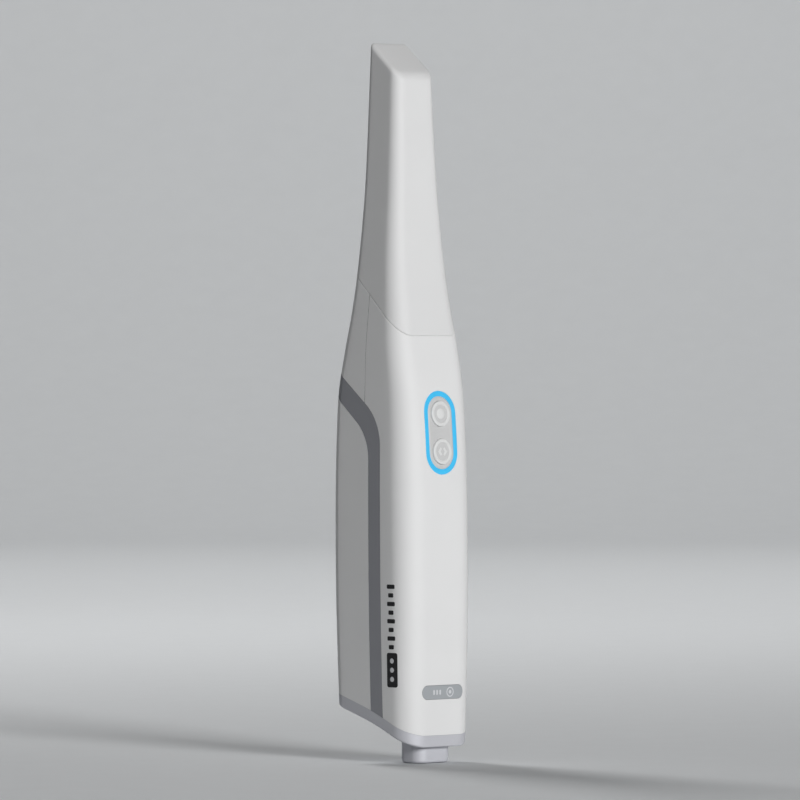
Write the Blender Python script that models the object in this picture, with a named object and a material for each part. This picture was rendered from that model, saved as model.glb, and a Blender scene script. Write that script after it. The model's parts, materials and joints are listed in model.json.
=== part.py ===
"""Intraoral scanning camera: a hand-held dental wand with a pull-off mirror tip.

Frame: +Z runs up the wand to the tip, the buttons face -Y and +X is the wand's right.
The origin is under the middle of the body, level with the mouth of the cable socket.
Sizes are metres, and every length below is given in millimetres times MM.
"""

import math

import bmesh
import bpy
from mathutils import Vector

MM = 0.001
GAP = 0.3 * MM  # air left between two pieces that touch
OVER = 5 * MM  # how far a cutting tool runs past what it cuts

# ---------------------------------------------------------------- the outer skin
# height, width, depth, middle of the depth, front corner radius, rear corner radius, in mm
PROFILE = (
    (0, 31.4, 36.6, -0.15, 8.0, 4.0),
    (20, 33.1, 36.9, -0.25, 8.2, 4.0),
    (56, 34.5, 38.1, -0.1, 8.6, 4.0),
    (91, 34.7, 38.1, 0.1, 9.0, 4.0),
    (111, 34.4, 37.0, 0.35, 8.6, 4.0),
    (129, 33.9, 34.5, 0.7, 7.8, 4.0),
    (144, 33.0, 29.1, 0.6, 7.0, 4.0),
    (160, 29.8, 23.7, 0.7, 6.2, 3.6),
    (178, 26.5, 19.7, 1.0, 5.4, 3.2),
    (200, 22.8, 17.2, 1.2, 4.6, 2.8),
    (226, 19.9, 15.7, 1.5, 4.0, 2.4),
    (256, 17.7, 14.2, 1.55, 3.6, 2.0),
)
LENGTH = 251.4 * MM
CORNER_STEPS = 4  # straight pieces in each rounded corner
SKIN_STEP = 10 * MM  # height between two rings of the skin

# ---------------------------------------------------------------- where the skin is parted
PARTING_FRONT = (-13.15 * MM, 148.7 * MM)  # depth and height of the tip joint on the front face
PARTING_SLOPE = 0.91
TIP_FACE_FRONT = (-6.0 * MM, 239.6 * MM)  # lower edge of the slanted end of the tip
TIP_FACE_SLOPE = 0.85
BASE_LINE = ((-18.4 * MM, 5.1 * MM), (-0.4 * MM, 13.5 * MM), (15.0 * MM, 18.5 * MM))
SEAM_Y = 2.7 * MM  # side seam between the front shell and the upper rear shell
# upright edge's depth, height of the bend's corner, slope behind the bend, bend radius
TRIM_OUTER_EDGE = (-5.0 * MM, 119.1 * MM, 0.81, 19 * MM)
TRIM_INNER_EDGE = (0.7 * MM, 113.6 * MM, 0.865, 18 * MM)
TRIM_LEAN = 0.006  # the band's foot stands a little ahead of its bend
REACH = 30 * MM  # outlines that part the skin run this far past the middle

CAP_HEIGHT = 4.5 * MM
CAP_FLOOR = 2.0 * MM
SHELL_WALL = 2.0 * MM
TIP_WALL = 1.6 * MM
NOSE_INSET = 2.4 * MM  # the nose lies this far inside the skin
NOSE_WALL = 1.6 * MM
NOSE_BOTTOM = 141 * MM
NOSE_TOP = 196 * MM
SPRING_THICK = 0.4 * MM
SPRING_FRONT = -1.8 * MM
SPRING_REAR = 3.0 * MM
SPRING_BOTTOM = 174.3 * MM
SPRING_TOP = 185.7 * MM
SPRING_SUNK = 0.1 * MM  # how far the springs stand below the nose's side

# ---------------------------------------------------------------- button panel
PANEL_HEIGHT = 115.1 * MM
PANEL_LEAN = math.radians(4.3)
PANEL_PROUD = 0.05 * MM
RING_WIDTH = 15.3 * MM
RING_LENGTH = 29.1 * MM
RING_BAND = 1.7 * MM
PANEL_DEPTH = 2.4 * MM
BUTTON_RADIUS = 4.5 * MM
BUTTON_SPACING = 13.2 * MM
BUTTON_PROUD = 0.45 * MM
BUTTON_TRAVEL = 0.6 * MM
BUTTON_FLANGE = 5.2 * MM
FLANGE_THICK = 0.8 * MM
STEM_RADIUS = 1.5 * MM
SWITCH_SIZE = 6 * MM
SWITCH_HEIGHT = 2.2 * MM
KEY_BOARD_DEPTH = 7.4 * MM
BOARD_THICK = 1.2 * MM

LABEL_HEIGHT = 24.7 * MM
LABEL_WIDTH = 19.8 * MM
LABEL_TALL = 4.8 * MM
LABEL_THICK = 0.6 * MM

# ---------------------------------------------------------------- cable socket
SOCKET_WIDTH = 16.8 * MM
SOCKET_DEPTH = 11.2 * MM
SOCKET_Y = -10.1 * MM
SOCKET_RADIUS = 4.3 * MM
SOCKET_TOP = 17 * MM
SOCKET_WALL = 1.7 * MM
INSERT_BOTTOM = 8.0 * MM
PIN_COUNT = 4
PIN_PITCH = 2.4 * MM

# ---------------------------------------------------------------- tip optics
MIRROR_THICK = 1.0 * MM
MIRROR_WIDTH = 14.0 * MM
MIRROR_ENDS = (-2.9 * MM, 6.2 * MM)  # depths of its front and rear edges
WINDOW_WIDTH = 13.6 * MM
WINDOW_BOTTOM = 232.5 * MM
WINDOW_TOP = 247.0 * MM

# ---------------------------------------------------------------- optical engine
ENGINE_BOTTOM = 143 * MM
ENGINE_TOP = 158 * MM
ENGINE_WIDTH = 20.8 * MM
ENGINE_Y = 0.7 * MM
ENGINE_DEPTH = 11.0 * MM
PROJECTOR_RADIUS = 3.6 * MM
CAMERA_RADIUS = 2.6 * MM
CAMERA_X = 7.1 * MM
BARREL_TOP = 164 * MM

# ---------------------------------------------------------------- boards and chassis
BOARD_WIDTH = 24 * MM
BOARD_BOTTOM = 30 * MM
BOARD_TOP = 128 * MM
BOARD_Y = 3.0 * MM
MAIN_BOARD_THICK = 1.6 * MM
CHASSIS_Y = 8.0 * MM
CHASSIS_THICK = 2.0 * MM
CHASSIS_BOTTOM = 22.5 * MM
CHASSIS_TOP = 126 * MM
FOOT_FRONT = 0.5 * MM
FOOT_THICK = 3.0 * MM
FIN_COUNT = 7
FIN_PITCH = 3.2 * MM
FIN_THICK = 1.0 * MM
FIN_DEPTH = 3.6 * MM
FIN_BOTTOM = 50 * MM
FIN_TOP = 112 * MM
CHIP_SIZE = 14 * MM
CHIP_BACK = 1.8 * MM  # from the board's rear face to the chip's
SCREW_X = 9.5 * MM
SCREW_RADIUS = 1.0 * MM
SCREW_HOLE = 1.3 * MM
SCREW_HEAD = 1.9 * MM
HEAD_THICK = 1.2 * MM
STANDOFF_RADIUS = 2.4 * MM
CAP_SCREW_HEAD = 2.1 * MM
CAP_SCREW_SEAT = 0.9 * MM  # above the cap's underside
CAP_SCREW_Y = 4.6 * MM

WHITE = (0.80, 0.80, 0.80)
TRIM_GREY = (0.12, 0.12, 0.13)
CAP_GREY = (0.42, 0.42, 0.45)
PLATE_GREY = (0.55, 0.55, 0.56)
LABEL_GREY = (0.34, 0.36, 0.38)
RING_BLUE = (0.06, 0.50, 0.87)
GLASS = (0.75, 0.82, 0.85)
MIRROR = (0.9, 0.9, 0.92)
ALUMINIUM = (0.62, 0.63, 0.65)
BLACK = (0.02, 0.02, 0.02)
BOARD_GREEN = (0.02, 0.14, 0.06)
GOLD = (0.75, 0.55, 0.2)
STEEL = (0.55, 0.56, 0.58)
AMBER = (0.55, 0.25, 0.05)
RUBBER = (0.03, 0.03, 0.03)
PAD_GREY = (0.3, 0.32, 0.35)
IVORY = (0.7, 0.66, 0.55)


# ---------------------------------------------------------------- small tools
def material(name, colour, roughness, metallic=0.0):
    """A plain finish; pieces that share a name share the material."""
    found = bpy.data.materials.get(name)
    if found:
        return found
    made = bpy.data.materials.new(name)
    made.use_nodes = True
    shader = made.node_tree.nodes["Principled BSDF"]
    shader.inputs["Base Color"].default_value = (*colour, 1.0)
    shader.inputs["Roughness"].default_value = roughness
    shader.inputs["Metallic"].default_value = metallic
    return made


def new_object(name, mesh_maker, finish=None):
    """An object whose mesh is what mesh_maker leaves in the bmesh it is given."""
    mesh = bpy.data.meshes.new(name)
    shape = bmesh.new()
    mesh_maker(shape)
    bmesh.ops.recalc_face_normals(shape, faces=shape.faces)
    shape.to_mesh(mesh)
    shape.free()
    made = bpy.data.objects.new(name, mesh)
    bpy.context.scene.collection.objects.link(made)
    if finish:
        mesh.materials.append(finish)
    mesh.shade_smooth()
    mesh.set_sharp_from_angle(angle=math.radians(35))
    return made


def bridge_rings(shape, rings):
    """Joins closed rings of points, each as long as the next, into one solid with flat ends."""
    rows = [[shape.verts.new(point) for point in ring] for ring in rings]
    for low, high in zip(rows, rows[1:]):
        for i in range(len(low)):
            j = (i + 1) % len(low)
            shape.faces.new((low[i], low[j], high[j], high[i]))
    shape.faces.new(rows[0][::-1])
    shape.faces.new(rows[-1])


def rounded_corners(corners, steps=CORNER_STEPS):
    """Points round a closed outline of (x, y, radius, start angle) corner arcs."""
    points = []
    for x, y, radius, start in corners:
        for i in range(steps + 1):
            turn = start + math.pi / 2 * i / steps
            points.append((x + radius * math.cos(turn), y + radius * math.sin(turn)))
    return points


def rounded_rectangle(width, depth, radius, steps=CORNER_STEPS):
    x = width / 2 - radius
    y = depth / 2 - radius
    quarter = math.pi / 2
    corners = ((x, y, radius, 0), (-x, y, radius, quarter))
    corners += ((-x, -y, radius, 2 * quarter), (x, -y, radius, 3 * quarter))
    return rounded_corners(corners, steps)


def stadium(width, length, steps=8):
    """A pill outline: width across, length along the second axis."""
    radius = width / 2
    reach = length / 2 - radius
    points = []
    for middle, start in ((reach, 0), (-reach, math.pi)):
        for i in range(steps + 1):
            turn = start + math.pi * i / steps
            points.append((radius * math.cos(turn), middle + radius * math.sin(turn)))
    return points


def circle(radius, steps=20):
    return [(radius * math.cos(2 * math.pi * i / steps), radius * math.sin(2 * math.pi * i / steps))
            for i in range(steps)]


def upright_prism(name, outline, bottom, top, middle=(0, 0), finish=None):
    """An outline in X and Y, raised from bottom to top."""
    x0, y0 = middle

    def shape_it(shape):
        bridge_rings(shape, [[(x + x0, y + y0, z) for x, y in outline] for z in (bottom, top)])
    return new_object(name, shape_it, finish)


def side_prism(name, outline, half_width, finish=None, middle_x=0.0):
    """An outline in Y and Z, extruded along X to both sides."""
    def shape_it(shape):
        bridge_rings(shape, [[(middle_x + x, y, z) for y, z in outline]
                             for x in (-half_width, half_width)])
    return new_object(name, shape_it, finish)


def panel_prism(name, outline, front, back, panel, finish=None, centre=0.0):
    """An outline on the button panel's face, from front to back below that face."""
    def shape_it(shape):
        bridge_rings(shape, [[(x, depth, z + centre) for x, z in outline]
                             for depth in (front, back)])
    made = new_object(name, shape_it, finish)
    made.parent = panel
    return made


def box(name, low, high, finish=None):
    return side_prism(name, ((low[1], low[2]), (high[1], low[2]), (high[1], high[2]), (low[1], high[2])),
                      (high[0] - low[0]) / 2, finish, (high[0] + low[0]) / 2)


def combine(target, tool, operation):
    """Adds a Boolean of the tool to the target and puts the tool out of the model."""
    step = target.modifiers.new(operation.lower() + "_" + tool.name, "BOOLEAN")
    step.operation = operation
    step.solver = "EXACT"
    step.object = tool
    tool.hide_render = True
    tool.display_type = "WIRE"


def cut(target, tool):
    combine(target, tool, "DIFFERENCE")


def keep_inside(target, tool):
    combine(target, tool, "INTERSECT")


def add(target, tool):
    combine(target, tool, "UNION")


def turned(name, steps, middle, finish=None, sides=20):
    """A body turned about the vertical: (radius, height) from its bottom to its top."""
    x0, y0 = middle

    def shape_it(shape):
        bridge_rings(shape, [[(x0 + x, y0 + y, z) for x, y in circle(radius, sides)]
                             for radius, z in steps])
    return new_object(name, shape_it, finish)


# ---------------------------------------------------------------- the skin's shape
def profile_at(height):
    """The skin's measures at a height, on a smooth curve through PROFILE, in metres."""
    z = height / MM
    last = len(PROFILE) - 2
    i = min(max(sum(1 for row in PROFILE if row[0] <= z) - 1, 0), last)
    low, high = PROFILE[i], PROFILE[i + 1]
    before = PROFILE[max(i - 1, 0)]
    after = PROFILE[min(i + 2, last + 1)]
    span = high[0] - low[0]
    t = (z - low[0]) / span
    values = []
    for k in range(1, len(low)):
        slope_low = (high[k] - before[k]) / (high[0] - before[0]) * span
        slope_high = (after[k] - low[k]) / (after[0] - low[0]) * span
        value = ((2 * t**3 - 3 * t**2 + 1) * low[k] + (t**3 - 2 * t**2 + t) * slope_low
                 + (3 * t**2 - 2 * t**3) * high[k] + (t**3 - t**2) * slope_high)
        values.append(value * MM)
    return values


def skin_ring(height, inset):
    """The skin's outline at a height, drawn in by inset all round."""
    width, depth, middle, front_radius, rear_radius = profile_at(height)
    front = max(front_radius - inset, 0.5 * MM)
    rear = max(rear_radius - inset, 0.5 * MM)
    x = width / 2 - inset
    y = depth / 2 - inset
    quarter = math.pi / 2
    corners = ((x - rear, y - rear, rear, 0), (rear - x, y - rear, rear, quarter),
               (front - x, front - y, front, 2 * quarter), (x - front, front - y, front, 3 * quarter))
    return [(px, py + middle, height) for px, py in rounded_corners(corners)]


def skin_body(name, bottom, top, inset=0.0, finish=None):
    """A solid that fills the skin, drawn in by inset, between two heights."""
    count = max(1, round((top - bottom) / SKIN_STEP))
    heights = [bottom + (top - bottom) * i / count for i in range(count + 1)]

    def shape_it(shape):
        bridge_rings(shape, [skin_ring(height, inset) for height in heights])
    return new_object(name, shape_it, finish)


def front_of_skin(height):
    depth, middle = profile_at(height)[1:3]
    return middle - depth / 2


def parting_height(y):
    return PARTING_FRONT[1] + PARTING_SLOPE * (y - PARTING_FRONT[0])


def tip_face_height(y, below=0.0):
    """Height of the slanted end of the tip, or of a plane that lies below it by some thickness."""
    drop = below * math.hypot(1, TIP_FACE_SLOPE)
    return TIP_FACE_FRONT[1] + TIP_FACE_SLOPE * (y - TIP_FACE_FRONT[0]) - drop


def base_points(rise):
    """The bottom line seen from the side, front to rear, raised by rise and run out both ways."""
    (y0, z0), (y1, z1), (y2, z2) = BASE_LINE
    front_slope = (z1 - z0) / (y1 - y0)
    rear_slope = (z2 - z1) / (y2 - y1)
    front = (-REACH, z0 + front_slope * (-REACH - y0) + rise)
    rear = (REACH, z1 + rear_slope * (REACH - y1) + rise)
    return [front, (y1, z1 + rise), rear]


def base_height(y, rise=0.0):
    points = base_points(rise)
    low, high = (points[0], points[1]) if y < points[1][0] else (points[1], points[2])
    return low[1] + (high[1] - low[1]) * (y - low[0]) / (high[0] - low[0])


def trim_edge(edge, shift=0.0, steps=6):
    """An edge of the trim band from its upright foot to the rear, moved rearwards by shift."""
    upright, corner, slope, radius = edge
    turn = math.pi / 2 - math.atan(slope)
    y0 = upright + radius
    z0 = corner - radius * math.tan(turn / 2)
    points = []
    for i in range(steps + 1):
        angle = math.pi - turn * i / steps
        points.append((y0 + radius * math.cos(angle) + shift, z0 + radius * math.sin(angle)))
    y1, z1 = points[-1]
    points.append((REACH, z1 + slope * (REACH - y1)))
    return points


def trim_foot(edge_points):
    """Depth of an edge of the trim band where it meets the bottom cap."""
    y, z = edge_points[0]
    return y - TRIM_LEAN * (z - base_height(y, CAP_HEIGHT))


def edge_height(edge_points, y):
    """Height at which an edge of the trim band stands over a depth y behind its upright."""
    for low, high in zip(edge_points, edge_points[1:]):
        if low[0] <= y <= high[0]:
            return low[1] + (high[1] - low[1]) * (y - low[0]) / (high[0] - low[0])
    return edge_points[-1][1]


# ---------------------------------------------------------------- shells
def shell_wall(name, finish):
    """The whole body skin as a wall of even thickness, before it is parted."""
    wall = skin_body(name, 0, PARTING_FRONT[1] + REACH, 0.0, finish)
    hollow = skin_body(name + "_hollow", -OVER, PARTING_FRONT[1] + REACH + OVER, SHELL_WALL)
    cut(wall, hollow)
    return wall


def shell_floor(y_low, y_high):
    """The points of the shells' lower edge between two depths, front to rear."""
    rise = CAP_HEIGHT + GAP
    kink = BASE_LINE[1][0]
    depths = [y_low] + ([kink] if y_low < kink < y_high else []) + [y_high]
    return [(y, base_height(y, rise)) for y in depths]


def seam_corner(points, y):
    return (y, edge_height(points, y))


def make_front_shell():
    shell = shell_wall("front_shell", material("white_plastic", WHITE, 0.35))
    edge = trim_edge(TRIM_OUTER_EDGE, -GAP / 2)
    seam = SEAM_Y - GAP / 2
    outline = shell_floor(-REACH, trim_foot(edge))
    outline += [point for point in edge if point[0] < seam]
    outline.append(seam_corner(edge, seam))
    outline.append((seam, parting_height(seam) - GAP / 2))
    outline.append((-REACH, parting_height(-REACH) - GAP / 2))
    keep_inside(shell, side_prism("front_shell_region", outline, REACH))
    opening = panel_prism("front_shell_opening", stadium(RING_WIDTH + 2 * GAP, RING_LENGTH + 2 * GAP),
                          -OVER, 2 * OVER, panel_origin())
    cut(shell, opening)
    cut(shell, label_slab("front_shell_label_bed", GAP, -OVER, LABEL_THICK + GAP))
    return shell


def make_rear_upper_shell():
    shell = shell_wall("rear_upper_shell", material("white_plastic", WHITE, 0.35))
    edge = trim_edge(TRIM_OUTER_EDGE, -GAP / 2)
    seam = SEAM_Y + GAP / 2
    outline = [seam_corner(edge, seam)] + [point for point in edge if point[0] > seam]
    outline.append((REACH, parting_height(REACH) - GAP / 2))
    outline.append((seam, parting_height(seam) - GAP / 2))
    keep_inside(shell, side_prism("rear_upper_shell_region", outline, REACH))
    return shell


def make_trim_band():
    band = shell_wall("trim_band", material("trim_plastic", TRIM_GREY, 0.4))
    outer = trim_edge(TRIM_OUTER_EDGE, GAP / 2)
    inner = trim_edge(TRIM_INNER_EDGE, -GAP / 2)
    outline = shell_floor(trim_foot(outer), trim_foot(inner)) + inner + outer[::-1]
    keep_inside(band, side_prism("trim_band_region", outline, REACH))
    return band


def make_rear_cover():
    cover = shell_wall("rear_cover", material("white_plastic", WHITE, 0.35))
    edge = trim_edge(TRIM_INNER_EDGE, GAP / 2)
    outline = edge + shell_floor(trim_foot(edge), REACH)[::-1]
    keep_inside(cover, side_prism("rear_cover_region", outline, REACH))
    return cover


def make_bottom_cap():
    cap = skin_body("bottom_cap", 0, 40 * MM, 0.0, material("cap_plastic", CAP_GREY, 0.4))
    keep_inside(cap, side_prism("bottom_cap_region", base_points(0) + base_points(CAP_HEIGHT)[::-1], REACH))
    room = skin_body("bottom_cap_room", -OVER, 60 * MM, SHELL_WALL)
    keep_inside(room, side_prism("bottom_cap_room_region",
                                 base_points(CAP_FLOOR) + base_points(60 * MM)[::-1], REACH + OVER))
    cut(cap, room)
    hole = rounded_rectangle(SOCKET_WIDTH + 2 * GAP, SOCKET_DEPTH + 2 * GAP, SOCKET_RADIUS)
    cut(cap, upright_prism("bottom_cap_socket_hole", hole, -OVER, 40 * MM, (0, SOCKET_Y)))
    seat = base_height(CAP_SCREW_Y, CAP_SCREW_SEAT)
    head_hole = CAP_SCREW_HEAD + GAP
    for side, x in sides(SCREW_X):
        steps = ((head_hole, -OVER), (head_hole, seat), (SCREW_HOLE, seat), (SCREW_HOLE, 40 * MM))
        cut(cap, turned(f"bottom_cap_screw_hole_{side}", steps, (x, CAP_SCREW_Y)))
    return cap


def sides(x):
    return (("left", -x), ("right", x))


# ---------------------------------------------------------------- mirror tip
def make_tip_sleeve():
    sleeve = skin_body("tip_sleeve", PARTING_FRONT[1] - OVER, LENGTH, 0.0,
                       material("tip_plastic", WHITE, 0.4))
    outside = [(-REACH, parting_height(-REACH) + GAP / 2), (REACH, parting_height(REACH) + GAP / 2),
               (REACH, tip_face_height(REACH)), (-REACH, tip_face_height(-REACH))]
    keep_inside(sleeve, side_prism("tip_sleeve_region", outside, REACH))
    bore = skin_body("tip_sleeve_bore", PARTING_FRONT[1] - 3 * OVER, LENGTH - TIP_WALL, TIP_WALL)
    low = PARTING_FRONT[1] - 4 * OVER
    inside = [(-REACH, low), (REACH, low), (REACH, tip_face_height(REACH, TIP_WALL)),
              (-REACH, tip_face_height(-REACH, TIP_WALL))]
    keep_inside(bore, side_prism("tip_sleeve_bore_region", inside, REACH))
    cut(sleeve, bore)
    height = WINDOW_TOP - WINDOW_BOTTOM
    window = [(x, (WINDOW_TOP + WINDOW_BOTTOM) / 2 + z)
              for x, z in rounded_rectangle(WINDOW_WIDTH, height, 2 * MM)]

    def shape_it(shape):
        bridge_rings(shape, [[(x, y, z) for x, z in window] for y in (4 * MM, REACH)])
    cut(sleeve, new_object("tip_sleeve_window", shape_it))
    return sleeve


def make_tip_mirror():
    """A flat mirror glued behind the slanted end, which turns the view out of the rear window."""
    front, rear = MIRROR_ENDS
    top = TIP_WALL + GAP
    bottom = top + MIRROR_THICK
    outline = [(front, tip_face_height(front, bottom)), (rear, tip_face_height(rear, bottom)),
               (rear, tip_face_height(rear, top)), (front, tip_face_height(front, top))]
    return side_prism("tip_mirror", outline, MIRROR_WIDTH / 2, material("mirror", MIRROR, 0.02, 1.0))


# ---------------------------------------------------------------- nose
def make_nose():
    nose = skin_body("nose_housing", NOSE_BOTTOM, NOSE_TOP, NOSE_INSET,
                     material("nose_plastic", BLACK, 0.45))
    cut(nose, skin_body("nose_bore", NOSE_BOTTOM - OVER, NOSE_TOP + OVER, NOSE_INSET + NOSE_WALL))
    face = profile_at(SPRING_TOP + GAP)[0] / 2 - NOSE_INSET
    back = face - SPRING_SUNK - SPRING_THICK
    for side, x in sides(1.0):
        low, high = sorted((x * (back - GAP), x * (face + OVER)))
        cut(nose, box(f"nose_spring_bed_{side}", (low, SPRING_FRONT - GAP, SPRING_BOTTOM - GAP),
                      (high, SPRING_REAR + GAP, SPRING_TOP + GAP)))
        low, high = sorted((x * back, x * (face - SPRING_SUNK)))
        box(f"retention_spring_{side}", (low, SPRING_FRONT, SPRING_BOTTOM), (high, SPRING_REAR, SPRING_TOP),
            material("spring_steel", STEEL, 0.3, 1.0))
    inset = NOSE_INSET + NOSE_WALL + GAP
    skin_body("nose_window", NOSE_TOP - 2.2 * MM, NOSE_TOP - 0.8 * MM, inset,
              material("glass", GLASS, 0.05))
    gasket = skin_body("window_gasket", NOSE_TOP - 3.5 * MM, NOSE_TOP - 2.5 * MM, inset,
                       material("rubber", RUBBER, 0.8))
    cut(gasket, skin_body("window_gasket_hole", NOSE_TOP - OVER, NOSE_TOP, inset + 1.2 * MM))


# ---------------------------------------------------------------- button panel
def panel_origin():
    """An empty on the panel's face: X across, -Y out of the face, Z up the face."""
    found = bpy.data.objects.get("panel_origin")
    if found:
        return found
    empty = bpy.data.objects.new("panel_origin", None)
    empty.location = (0, front_of_skin(PANEL_HEIGHT) - PANEL_PROUD, PANEL_HEIGHT)
    empty.rotation_euler = (-PANEL_LEAN, 0, 0)
    bpy.context.scene.collection.objects.link(empty)
    return empty


def make_panel():
    panel = panel_origin()
    ring = panel_prism("light_ring", stadium(RING_WIDTH, RING_LENGTH), 0, PANEL_DEPTH, panel,
                       material("light_ring", RING_BLUE, 0.3))
    inner_width = RING_WIDTH - 2 * RING_BAND
    inner_length = RING_LENGTH - 2 * RING_BAND
    cut(ring, panel_prism("light_ring_hole", stadium(inner_width, inner_length), -OVER, OVER, panel))
    plate = panel_prism("button_plate", stadium(inner_width - 2 * GAP, inner_length - 2 * GAP),
                        0.1 * MM, PANEL_DEPTH, panel, material("plate_plastic", PLATE_GREY, 0.4))
    for name, height in buttons():
        cut(plate, panel_prism(f"button_plate_{name}_hole", circle(BUTTON_RADIUS + GAP, 28),
                               -OVER, OVER, panel, None, height))
        make_button(name, height, panel)
    make_key_board(panel)


def buttons():
    return (("upper", BUTTON_SPACING / 2), ("lower", -BUTTON_SPACING / 2))


def make_button(name, height, panel):
    """A round key: cap with a raised rim, a flange that stops it coming out, and a stem."""
    back = PANEL_DEPTH + GAP
    seat = 1.0 * MM
    button = panel_prism(f"{name}_button", circle(BUTTON_RADIUS, 28), -BUTTON_PROUD, back + 0.1 * MM, panel,
                         material("button_plastic", PLATE_GREY, 0.35), height)
    cut(button, panel_prism(f"{name}_button_dish", circle(BUTTON_RADIUS - 1.1 * MM, 28), -OVER, 0, panel,
                            None, height))
    add(button, panel_prism(f"{name}_button_flange", circle(BUTTON_FLANGE, 28), back, back + FLANGE_THICK,
                            panel, None, height))
    add(button, panel_prism(f"{name}_button_stem", circle(STEM_RADIUS, 16), seat,
                            KEY_BOARD_DEPTH - SWITCH_HEIGHT - BUTTON_TRAVEL - GAP, panel, None, height))
    add(button, panel_prism(f"{name}_button_dot", circle(1.8 * MM, 20), -0.2 * MM, seat, panel,
                            None, height))


def make_key_board(panel):
    """The small board behind the keys, with a dome switch under each."""
    finish = material("board_green", BOARD_GREEN, 0.5)
    panel_prism("key_board", rounded_rectangle(RING_WIDTH, RING_LENGTH + 2 * MM, 2 * MM),
                KEY_BOARD_DEPTH, KEY_BOARD_DEPTH + BOARD_THICK, panel, finish)
    for name, height in buttons():
        top = KEY_BOARD_DEPTH - SWITCH_HEIGHT
        panel_prism(f"{name}_switch", rounded_rectangle(SWITCH_SIZE, SWITCH_SIZE, 0.6 * MM, 2), top,
                    KEY_BOARD_DEPTH - GAP, panel, material("switch_metal", STEEL, 0.4, 1.0), height)


def label_slab(name, grow, front, back, finish=None):
    """The pill-shaped label, or its bed when grown, set into the front face."""
    y = front_of_skin(LABEL_HEIGHT)
    lean = math.atan2(front_of_skin(LABEL_HEIGHT + 5 * MM) - front_of_skin(LABEL_HEIGHT - 5 * MM), 10 * MM)
    outline = stadium(LABEL_TALL + 2 * grow, LABEL_WIDTH + 2 * grow)

    def shape_it(shape):
        bridge_rings(shape, [[(z, y + depth + x * lean, LABEL_HEIGHT + x) for x, z in outline]
                             for depth in (front, back)])
    return new_object(name, shape_it, finish)


# ---------------------------------------------------------------- cable socket
def make_socket():
    outline = rounded_rectangle(SOCKET_WIDTH, SOCKET_DEPTH, SOCKET_RADIUS)
    block = upright_prism("cable_socket", outline, 0, SOCKET_TOP, (0, SOCKET_Y),
                          material("cap_plastic", CAP_GREY, 0.4))
    inner = rounded_rectangle(SOCKET_WIDTH - 2 * SOCKET_WALL, SOCKET_DEPTH - 2 * SOCKET_WALL,
                              SOCKET_RADIUS - SOCKET_WALL)
    cut(block, upright_prism("cable_socket_recess", inner, -OVER, SOCKET_TOP + OVER, (0, SOCKET_Y)))
    inset = SOCKET_WALL + GAP
    plug = rounded_rectangle(SOCKET_WIDTH - 2 * inset, SOCKET_DEPTH - 2 * inset, SOCKET_RADIUS - inset)
    insert = upright_prism("socket_insert", plug, INSERT_BOTTOM, SOCKET_TOP - 2 * MM, (0, SOCKET_Y),
                           material("nose_plastic", BLACK, 0.45))
    for i in range(PIN_COUNT):
        x = (i - (PIN_COUNT - 1) / 2) * PIN_PITCH
        hole = circle(0.5 * MM + GAP, 10)
        cut(insert, upright_prism(f"socket_insert_hole_{i + 1}", hole, 0, SOCKET_TOP, (x, SOCKET_Y)))
        upright_prism(f"contact_pin_{i + 1}", circle(0.5 * MM, 10), INSERT_BOTTOM - 2 * MM, SOCKET_TOP,
                      (x, SOCKET_Y), material("gold", GOLD, 0.25, 1.0))
    lead = ((SOCKET_Y, SOCKET_TOP + 1.2 * MM), (SOCKET_Y, SOCKET_TOP + 6 * MM),
            (-6 * MM, SOCKET_TOP + 14 * MM), (-2.4 * MM, SOCKET_TOP + 19 * MM))
    make_strip("socket_lead", lead, 0.9 * MM, 4.5 * MM, material("rubber", RUBBER, 0.8))


def make_strip(name, route, thick, half_width, finish):
    """A flat flexible strip that follows a route in Y and Z."""
    front, rear = [], []
    for i, (y, z) in enumerate(route):
        before = route[max(i - 1, 0)]
        after = route[min(i + 1, len(route) - 1)]
        along = Vector((after[0] - before[0], after[1] - before[1])).normalized() * (thick / 2)
        front.append((y - along[1], z + along[0]))
        rear.append((y + along[1], z - along[0]))
    return side_prism(name, front + rear[::-1], half_width, finish)


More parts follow.
